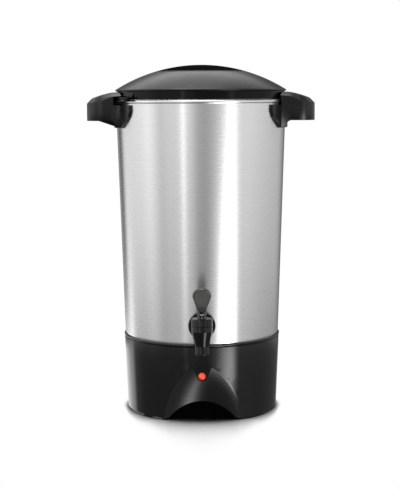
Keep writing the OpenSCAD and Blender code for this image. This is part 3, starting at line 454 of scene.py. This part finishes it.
FINISHES = {
    "steel_tank": brushed_steel(),
    "steel_parts": plain_steel(),
    "aluminium": aluminium(),
    "satin_black": satin_plastic(),
    "recess_black": recess_plastic(),
    "paddle_painted_sheen": paddle_painted_sheen_plastic(),
    "gloss_black": gloss_plastic("gloss_black", 0.3),
    "band_black": gloss_plastic("band_black", 0.13),
    "base_black": base_plastic(),
    "silicone": silicone(),
    "rubber": rubber(),
    "red_lens": red_lens(),
    "lamp_white": lamp_plastic(),
    "brass": brass(),
    "lead_red": lead_insulation(),
}


OWN_FINISH = {"lid_grip": "recess_black", "lid_band": "band_black"}


def finish_solids():
    """Every solid that stays gets the finish of its slot, or its own."""
    for part in frame["record"]["subparts"]:
        mesh = frame["nodes"][part["node"]].data
        mesh.materials.clear()
        mesh.materials.append(FINISHES[OWN_FINISH.get(part["node"], part["material_slot"])])


# ---------- tank ----------

def tank_shell():
    """The single-walled tank with its rolled rim; its UV runs up the wall, for the brushing."""
    bead_r, corner_r, hole_r = 2.7, 9, 26.5
    corner = (WALL_FOOT_R - corner_r, WALL_FOOT_Z)
    profile = (
        [(hole_r, FLOOR_Z)]
        + arc(corner, corner_r, -90, 0)
        + [(WALL_TOP_R, WALL_TOP_Z)]
        + arc((RIM_R - bead_r, RIM_Z - bead_r), bead_r, -42, 222, 26)
        + [(WALL_TOP_R - SHEET, WALL_TOP_Z - 0.6)]
        + arc(corner, corner_r - SHEET, 0, -90)
        + [(hole_r, FLOOR_Z + SHEET)]
    )
    bm = spun(profile, 256)
    layer = bm.loops.layers.uv.new(BRUSHING_UV)
    for face in bm.faces:
        for loop in face.loops:
            spot = loop.vert.co
            loop[layer].uv = (spot.z * MM, math.atan2(spot.y, spot.x) * 0.1)
    return piece("tank_shell", bm, "urn", "steel_tank", ["tank"])


# ---------- lid ----------

def dome_point(radius, ball_r):
    return (radius, DOME_BALL_Z + math.sqrt(ball_r ** 2 - radius ** 2))


def dome_cover():
    """The domed cover, with a short upright lip at its edge."""
    wall, lip_wall, lip, steps = 2.6, 3.4, 1.6, 24
    radii = [GRIP_R + (DOME_R - GRIP_R) * i / steps for i in range(steps + 1)]
    outer = [dome_point(r, DOME_BALL_R) for r in radii]
    inner = [dome_point(r, DOME_BALL_R - wall) for r in reversed(radii[:-1])]
    outline = outer + [(DOME_R, DOME_Z - lip), (DOME_R - lip_wall, DOME_Z - lip)] + inner
    return piece("dome_cover", spun(eased(outline, 0.7)), "lid", "satin_black", ["lid_dome"])


# ---------- tap ----------

def tap_barrel():
    """Spout, barrel and threaded top in one turned shape, with the neck to the tank."""
    outside = [(6.6, -30), (8.3, -30), (8.9, -29.2), (8.9, -27.1), (8.6, -26.1), (8.6, -19.5),
               (9.1, -16.5), (10, -12.5), (11.4, -7), (12.2, -2), (12.2, 4.2)]
    inside = [(10.6, 4.2), (10.6, 9.3), (8.5, 9.3), (8.5, -10.5), (4.5, -10.5), (4.5, -16.5),
              (6.6, -16.5)]
    barrel = spun(eased(outside + inside, 0.5, 3), 96)
    shift(barrel, y=VALVE_Y, z=TAP_Z)
    neck = spun([(3.8, 8), (9, 8), (9, 21.6), (8, 21.6), (8, 45.6), (3.8, 45.6)], 64)
    turn(neck, -90, "X")
    shift(neck, y=VALVE_Y, z=TAP_Z)
    return piece("tap_barrel", joined(barrel, neck), "urn", "gloss_black", ["tap_body"])


def flange_disc():
    """The round flange between the tap and the tank."""
    back, thick, bore_r, rim_r = -98.66, 3.8, 8.1, 16.2
    profile = eased([(bore_r, 0), (rim_r, 0), (rim_r, -thick), (bore_r, -thick)], 1.3, 5)
    bm = spun(profile, 96)
    turn(bm, -90, "X")
    shift(bm, y=back, z=TAP_Z)
    return piece("flange_disc", bm, "urn", "gloss_black", ["tap_flange"])


def paddle_blade():
    """Blade of the lever with a raised rim round both faces, leaning out over the spout."""
    waist, thick, head_r, sunk = 4.8, 4, 10.7, 0.5
    bm = slab([(-waist, 6), (waist, 6)] + arc((0, 31), head_r, -14, 194, 40), thick)
    flats = [f for f in bm.faces if abs(f.normal.z) > 0.9]
    soften(bm, [e for f in flats for e in f.edges], 1.1, 4)
    flats = [f for f in bm.faces if abs(f.normal.z) > 0.99]
    for flat in flats:
        down = flat.normal * -sunk
        bmesh.ops.inset_region(bm, faces=[flat], thickness=0.5, use_even_offset=True)
        bmesh.ops.inset_region(bm, faces=[flat], thickness=0.6, use_even_offset=True)
        bmesh.ops.translate(bm, verts=flat.verts, vec=down)
    shift(bm, z=-thick / 2)
    turn(bm, 90, "X")
    turn(bm, LEVER_LEAN, "X")
    return bm


def lever_neck():
    """Block that joins the blade to the two cheeks."""
    half_x, half_y, low, tall = 4.7, 2.6, 4.5, 5
    bm = slab([(-half_x, -half_y), (half_x, -half_y), (half_x, half_y), (-half_x, half_y)], tall)
    soften(bm, sharp_edges(bm), 0.7)
    shift(bm, z=low)
    turn(bm, LEVER_LEAN, "X")
    return bm


def lever_cheek(outside):
    """One of the two cheeks that hold the lever's pin, by the X of its right face."""
    outline = [(-3.4, -3.8), (10.3, -3.8), (10.3, -1.8), (9, 5), (3, 9.5), (-1.5, 7.5), (-3.8, 2)]
    bm = slab(eased(outline, 1.6), CHEEK)
    soften(bm, sharp_edges(bm), 0.4, 2)
    turn(bm, 90, "X")
    turn(bm, -90, "Z")
    shift(bm, x=outside)
    return bm


def paddle():
    """The tap's lever: blade, neck and two cheeks."""
    bm = joined(paddle_blade(), lever_neck(), lever_cheek(CHEEK_GAP + CHEEK), lever_cheek(-CHEEK_GAP))
    shift(bm, y=VALVE_Y, z=PIN_Z)
    # the lever's finish is black painted lighter, a painted sheen of the light from above
    return piece("paddle", bm, "lever", "paddle_painted_sheen", ["tap_lever"])


def coil():
    """Closing spring of the valve, which shortens as the stem lifts; here it stands on the stem and
    rides with it as one shape.
    """
    turns, steps, foot, top, wire_r = 5, 24, 115.3, 128.3, 0.45
    bm = bmesh.new()
    bmesh.ops.create_circle(bm, cap_ends=False, radius=wire_r, segments=10)
    turn(bm, 90, "X")
    shift(bm, x=COIL_R, z=foot + wire_r + 0.1)
    rise = (top - foot - 2 * wire_r - 0.2) / (turns * steps)
    bmesh.ops.spin(bm, geom=[*bm.verts, *bm.edges], cent=(0, 0, 0), axis=(0, 0, 1),
                   dvec=(0, 0, rise), angle=turns * FULL_TURN, steps=turns * steps)
    bmesh.ops.holes_fill(bm, edges=[e for e in bm.edges if e.is_boundary], sides=0)
    bmesh.ops.recalc_face_normals(bm, faces=bm.faces)
    shift(bm, y=VALVE_Y)
    made = piece("coil", bm, "stem", "steel_parts", ["tap_spring"])
    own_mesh(made)
    return made


# ---------- handles ----------

def crown(x, y):
    """Height of a handle's crowned top."""
    return CROWN_Z + math.sqrt(CROWN_R ** 2 - (math.hypot(x, y) - CROWN_SIDE) ** 2)


def eased_share(value, low, high):
    """Rises gently from 0 at the lower value to 1 at the upper one."""
    share = min(max((value - low) / (high - low), 0), 1)
    return share * share * (3 - 2 * share)


def handle_path(inset):
    """Outline of a handle from its front leg round to its back leg, seen from above."""
    radius = HANDLE_CORNER - inset
    half = HANDLE_HALF - inset
    mid = HANDLE_X - HANDLE_CORNER
    stops = [math.sqrt(HANDLE_SEAT_R ** 2 - half ** 2), 99, 102, SLOT_X, 108, 111, 114, 116.5]
    front = [(x, -half) for x in stops] + arc((mid, radius - half), radius, -90, 0, 12)
    return front + [(x, -y) for x, y in reversed(front)]


LEVELS = {"foot": 350, "shelf": PLATE_TOP_Z, "ceiling": 393, "brow": 394, "top": 400}


def handle_shell():
    """A handle with a flat top, hollow from below, and the bayonet slot in its back leg.

    Also gives back the corners round its top and round its foot.
    """
    bm = bmesh.new()

    def row(points, level):
        return [bm.verts.new((x, y, LEVELS[level])) for x, y in points]

    def wall(low, high, skip=0):
        last = len(low) - 1 - skip
        for i in range(last):
            bm.faces.new((low[i], low[i + 1], high[i + 1], high[i]))

    outer, inner = handle_path(0), handle_path(HANDLE_WALL)
    span = [-36, -24, -12, 0, 12, 24, 36]
    seat = [(math.sqrt(HANDLE_SEAT_R ** 2 - y * y), y) for y in span]
    out_rows = [row(outer, level) for level in ("foot", "shelf", "brow", "top")]
    in_rows = [row(inner, level) for level in ("foot", "shelf", "ceiling")]
    seat_low, seat_high = row(seat, "ceiling"), row(seat, "top")
    slot = 3
    wall(out_rows[0], out_rows[1])
    wall(out_rows[1], out_rows[2], slot)
    wall(out_rows[2], out_rows[3])
    wall(in_rows[0], in_rows[1])
    wall(in_rows[1], in_rows[2], slot)
    wall(seat_low, seat_high)
    bm.faces.new(out_rows[0] + in_rows[0][::-1])
    bm.faces.new(out_rows[3] + seat_high[::-1])
    bm.faces.new(in_rows[2] + seat_low[::-1])
    corner = -1 - slot
    for step, end in ((0, 0), (1, 0), (0, -1), (1, corner)):
        low_out, low_in = out_rows[step][end], in_rows[step][end]
        bm.faces.new((low_out, low_in, in_rows[step + 1][end], out_rows[step + 1][end]))
    for step in (1, 2):
        bm.faces.new(out_rows[step][corner:] + in_rows[step][corner:][::-1])
    for end in (0, -1):
        rim = (out_rows[2][end], in_rows[2][end], seat_low[end], seat_high[end], out_rows[3][end])
        bm.faces.new(rim)
    return bm, out_rows[3], out_rows[0] + in_rows[0]


def handle_block():
    """The shell with a slanted brow and softened edges."""
    bm, top, foot = handle_shell()
    brow = [e for e in bm.edges if set(e.verts) <= set(top)]
    feet = [e for e in bm.edges if set(e.verts) <= set(foot)]
    bmesh.ops.recalc_face_normals(bm, faces=bm.faces)
    bmesh.ops.bevel(bm, geom=brow, offset=HANDLE_BEVEL, offset_type="OFFSET", affect="EDGES",
                    segments=1, profile=0.5, material=-1, clamp_overlap=False)
    soften(bm, [e for e in feet if e.is_valid], 0.7, 2)
    slanted = [f for f in bm.faces if 0.5 < f.normal.z < 0.9]
    rims = {e for f in slanted for e in f.edges if 0.5 < e.calc_face_angle(0) < 1.1}
    soften(bm, list(rims), 1, 4)
    return bm


def cut_top(bm, spot, across):
    """Splits the flat top and the ceiling along a plane, so that they can follow the crown."""
    level = [f for f in bm.faces if abs(f.normal.z) > 0.999]
    faces = [f for f in level if f.calc_center_median().z > LEVELS["ceiling"] - 1]
    edges = {e for f in faces for e in f.edges}
    verts = {v for f in faces for v in f.verts}
    bmesh.ops.bisect_plane(bm, geom=[*faces, *edges, *verts], dist=0.01, plane_co=spot,
                           plane_no=across)


def handle_height(x, y, level):
    """Height in the finished handle of a point of the flat-topped block."""
    if level > LEVELS["ceiling"] + 0.5:
        lift = CROWN_LIFT * eased_share(x, 94, 112)
        depth = 4 + 2 * eased_share(x, 106, 118) - 2.7 * eased_share(x, 122, 137)
        share = (LEVELS["top"] - level) / (LEVELS["top"] - LEVELS["brow"])
        return crown(x, y) + lift - depth * share
    if level > LEVELS["shelf"] + 1:
        return crown(x, y) - HANDLE_ROOF
    if level > LEVELS["shelf"] - 1:
        return level
    return level + FOOT_RISE * eased_share(x, 97, 108)


def wall_radius(z):
    """Radius of the tank's wall at a height."""
    return WALL_FOOT_R + (z - WALL_FOOT_Z) * (WALL_TOP_R - WALL_FOOT_R) / (WALL_TOP_Z - WALL_FOOT_Z)


def screw_boss(angle, rib_height):
    """Post for a handle screw with the rib over it."""
    post_r, reach, rib_half = 4.5, 13.2, 1.5
    post = spun([(0.01, 0), (post_r, 0), (post_r, reach), (0.01, reach)], 40)
    turn(post, 90, "Y")
    rib = slab([(0, -rib_half), (reach, -rib_half), (reach, rib_half), (0, rib_half)], rib_height)
    bm = joined(post, rib)
    shift(bm, x=BOSS_R, z=SCREW_Z)
    turn(bm, angle, "Z")
    return bm


def handle(name, side, replaced):
    """The handle bent to the tank and to its crown, with the two screw posts inside."""
    bm = handle_block()
    for x in range(100, 137, 4):
        cut_top(bm, (x, 0, 0), (1, 0, 0))
    for y in range(-36, 37, 9):
        cut_top(bm, (0, y, 0), (0, 1, 0))
    for vert in bm.verts:
        x, y, level = vert.co
        reach = math.hypot(x, y)
        if reach < HANDLE_SEAT_R + 0.6 and level < LEVELS["shelf"] + 1:
            grow = (wall_radius(level) + PLATE_THICK) / reach
            vert.co.x = x * grow
            vert.co.y = y * grow
        vert.co.z = handle_height(x, y, level)
    whole = joined(bm, screw_boss(SCREW_ANGLE, 11.4), screw_boss(-SCREW_ANGLE, 21))
    bmesh.ops.recalc_face_normals(whole, faces=whole.faces)
    turn(whole, side, "Z")
    return piece(name, whole, "urn", "satin_black", [replaced])


# ---------- stage, light and camera ----------

def painted_floor_shadow(tree):
    """Painted shadow: white that darkens to black near the urn, most in front of it and little at its
    sides, from the occlusion round each point.
    """
    side = calculated(tree, "ABSOLUTE", split_axes(tree, own_place(tree))["X"])
    near = tree.nodes.new("ShaderNodeAmbientOcclusion")
    near.samples = 12
    tree.links.new(between(tree, side, (0, 0.095), (0.2, 0.01)), near.inputs["Distance"])
    return ramp(tree, near.outputs["AO"], [(0.5, grey(0.001)), (0.855, grey(1))])


def floor():
    """White floor with a painted shadow that only the camera sees; it stays out of reflections."""
    bm = bmesh.new()
    bmesh.ops.create_circle(bm, cap_ends=True, radius=2.5, segments=96)
    mesh = bpy.data.meshes.new("floor")
    bm.to_mesh(mesh)
    bm.free()
    made = bpy.data.objects.new("floor", mesh)
    bpy.context.scene.collection.objects.link(made)
    made.visible_glossy = False
    material, shader = new_finish("white_floor", grey(0.82), 0.9, specular=0.0)
    tree = material.node_tree
    rays = tree.nodes.new("ShaderNodeLightPath")
    seen = tree.nodes.new("ShaderNodeEmission")
    pick = tree.nodes.new("ShaderNodeMixShader")
    # the camera sees the painted shadow as the floor's colour
    tree.links.new(painted_floor_shadow(tree), seen.inputs["Color"])
    tree.links.new(rays.outputs["Is Camera Ray"], pick.inputs["Fac"])
    tree.links.new(shader.outputs["BSDF"], pick.inputs[1])
    tree.links.new(seen.outputs["Emission"], pick.inputs[2])
    tree.links.new(pick.outputs["Shader"], tree.nodes["Material Output"].inputs["Surface"])
    mesh.materials.append(material)


# heights in the room, as the sine of the angle over the horizon: the edge between its two rows of
# soft boxes, and how much higher that edge is in front
SKIRTING = (-0.196, -0.188)
SKIRTING_BOW = 0.071

# brightness of the room by the angle from the front, to the right positive
ROOM_ABOVE = [(-180, 0.3), (-170, 0.15), (-160, 0.4), (-149, 0.08), (-141, 0.12), (-132, 0.86),
              (-89, 1.12), (-76, 1.34), (-66, 1.1), (-57, 0.77), (-46, 0.94), (-27, 0.95),
              (-25.5, 2.3), (-22.5, 2.3), (-21, 0.95), (-12, 0.88), (-5, 0.5), (6, 0.42),
              (16, 0.5), (29, 0.5), (36, 0.62), (40, 1.5), (44, 1.6), (47, 0.85), (54, 0.9),
              (66, 1.0), (90, 0.85), (136, 0.6), (156, 0.22), (168, 0.1), (180, 0.3)]
ROOM_BELOW = [(-180, 0.6), (-164, 1.3), (-148, 1.6), (-128, 1.4), (-120, 0.3), (-100, 0.16),
              (-60, 0.2), (8, 0.16), (14, 0.4), (22, 1.1), (28, 2.8), (35, 5.4), (42, 7.0),
              (46, 6.2), (49, 4.2), (53, 1.4), (57, 0.4), (100, 0.22), (150, 0.15), (180, 0.3)]


def room_band(tree, angle, levels):
    """Brightness by angle as a ramp from 0 to 1, scaled up to the brightest level."""
    top = max(level for degrees, level in levels)
    stops = [((degrees + 180) / 360, grey(level / top)) for degrees, level in levels]
    scaled = tree.nodes.new("ShaderNodeVectorMath")
    scaled.operation = "SCALE"
    scaled.inputs["Scale"].default_value = top
    tree.links.new(ramp(tree, angle, stops), scaled.inputs[0])
    return scaled.outputs["Vector"]


def above(tree, height, low, high):
    """0 below the lower height, 1 over the upper one."""
    return between(tree, height, (low, high), (0, 1), smooth=True)


def curved_height(tree, height, angle):
    """Height in the room, raised towards the front, where the walls of the urn lean over more."""
    swing = calculated(tree, "COSINE", calculated(tree, "MULTIPLY", angle, 0.5))
    return calculated(tree, "MULTIPLY_ADD", swing, SKIRTING_BOW, height)


def blend(tree, share, first, second):
    """A mix of two colours; each is a colour or another node's output."""
    mix = tree.nodes.new("ShaderNodeMix")
    mix.data_type = "RGBA"
    tree.links.new(share, mix.inputs["Factor"])
    colour_in = [s for s in mix.inputs if s.type == "RGBA"]
    for value, socket in zip((first, second), colour_in):
        if isinstance(value, tuple):
            socket.default_value = (*value, 1)
        else:
            tree.links.new(value, socket)
    return [s for s in mix.outputs if s.type == "RGBA"][0]


def room_walls(tree, axes):
    """The walls with their soft boxes, in one row for the tank and a lower one for the base."""
    front = calculated(tree, "MULTIPLY", axes["Y"], -1)
    round_angle = calculated(tree, "ARCTAN2", axes["X"], front)
    angle = between(tree, round_angle, (-math.pi, math.pi), (0, 1))
    upper = room_band(tree, angle, ROOM_ABOVE)
    lower = room_band(tree, angle, ROOM_BELOW)
    skirting = curved_height(tree, axes["Z"], round_angle)
    return blend(tree, above(tree, skirting, *SKIRTING), lower, upper)


def room_ceiling(tree, axes):
    """The ceiling: bright overhead, and at the back falling off to the right and with height."""
    side = axes["X"]
    steep = above(tree, axes["Z"], 0.55, 0.85)
    left = blend(tree, steep, grey(1.4), grey(0.8))
    middle = blend(tree, steep, grey(1.8), grey(1.25))
    right = blend(tree, steep, grey(0.7), grey(0.3))
    back = blend(tree, above(tree, side, -0.4, -0.1), left, middle)
    back = blend(tree, above(tree, side, 0.05, 0.35), back, right)
    slope = blend(tree, above(tree, axes["Y"], -0.35, 0), grey(1.2), back)
    return blend(tree, above(tree, axes["Z"], 0.91, 0.97), slope, grey(3.4))


def studio():
    """A pale room with brighter upright soft boxes. The camera sees it plain white."""
    world = bpy.data.worlds.new("studio")
    bpy.context.scene.world = world
    world.use_nodes = True
    tree = world.node_tree
    direction = tree.nodes.new("ShaderNodeTexCoord")
    axes = split_axes(tree, direction.outputs["Generated"])
    rising = above(tree, axes["Z"], 0.37, 0.55)
    room = blend(tree, rising, room_walls(tree, axes), room_ceiling(tree, axes))
    rays = tree.nodes.new("ShaderNodeLightPath")
    seen = blend(tree, rays.outputs["Is Camera Ray"], room, grey(1.0))
    tree.links.new(seen, tree.nodes["Background"].inputs["Color"])


def top_light():
    """One plain soft box overhead."""
    data = bpy.data.lights.new("top_softbox", "AREA")
    data.shape = "RECTANGLE"
    data.size = 1.6
    data.size_y = 0.8
    data.energy = 9
    lamp = bpy.data.objects.new("top_softbox", data)
    bpy.context.scene.collection.objects.link(lamp)
    lamp.location = (-0.2, -0.15, 2.0)
    aim = Vector((0, 0, 0.2)) - Vector(lamp.location)
    lamp.rotation_euler = aim.to_track_quat("-Z", "Y").to_euler()


def camera():
    """From the front, at the height of the tank's rim, looking a little down."""
    data = bpy.data.cameras.new("camera")
    data.sensor_width = 36
    data.lens = 92.28
    made = bpy.data.objects.new("camera", data)
    bpy.context.scene.collection.objects.link(made)
    eye = Vector((-0.0018, -1.56, 0.384))
    aim = Vector((-0.0018, 0, 0.2036))
    tilt = Quaternion((0, 0, 1), math.radians(-0.27))
    made.location = eye
    made.rotation_euler = ((aim - eye).to_track_quat("-Z", "Y") @ tilt).to_euler()
    bpy.context.scene.camera = made


finish_solids()
tank_shell()
dome_cover()
tap_barrel()
flange_disc()
paddle()
coil()
handle("handle_right", 0, "right_handle")
handle("handle_left", 180, "left_handle")
floor()
studio()
top_light()
camera()

bpy.context.scene.view_settings.view_transform = "Standard"
